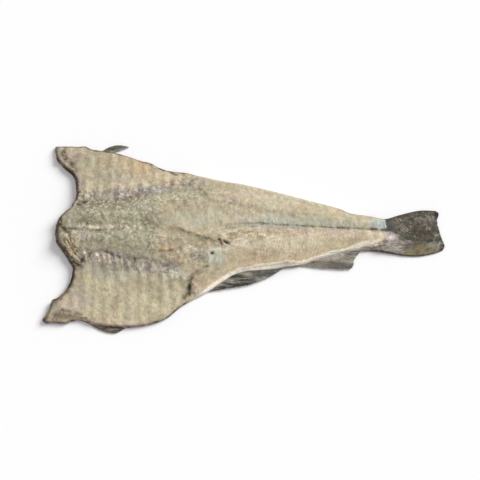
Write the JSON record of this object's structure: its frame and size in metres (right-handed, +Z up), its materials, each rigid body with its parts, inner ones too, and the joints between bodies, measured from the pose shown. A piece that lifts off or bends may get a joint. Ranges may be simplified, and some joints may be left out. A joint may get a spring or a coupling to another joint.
{
  "type": "split wet-salted cod",
  "caption": "Headless salted cod, split along the belly and laid open flat, with thick loins, thin belly flaps, side fins and tail fin.",
  "frame": {"origin": "middle of the bounding box at the skin side's resting plane", "axes": "+X from the nape towards the tail fin, +Z up out of the flesh side, +Y towards the straighter of the two long edges"},
  "size_m": [0.6949, 0.3399, 0.033],
  "materials": {
    "flesh": "matt, slightly moist salted fish flesh",
    "skin": "grey-brown scaled fish skin, slightly moist",
    "fin": "dark rayed fin skin",
    "salt": "coarse white salt grains"
  },
  "bodies": {
    "root": {"split_cod": "flesh"}
  },
  "joints": []
}
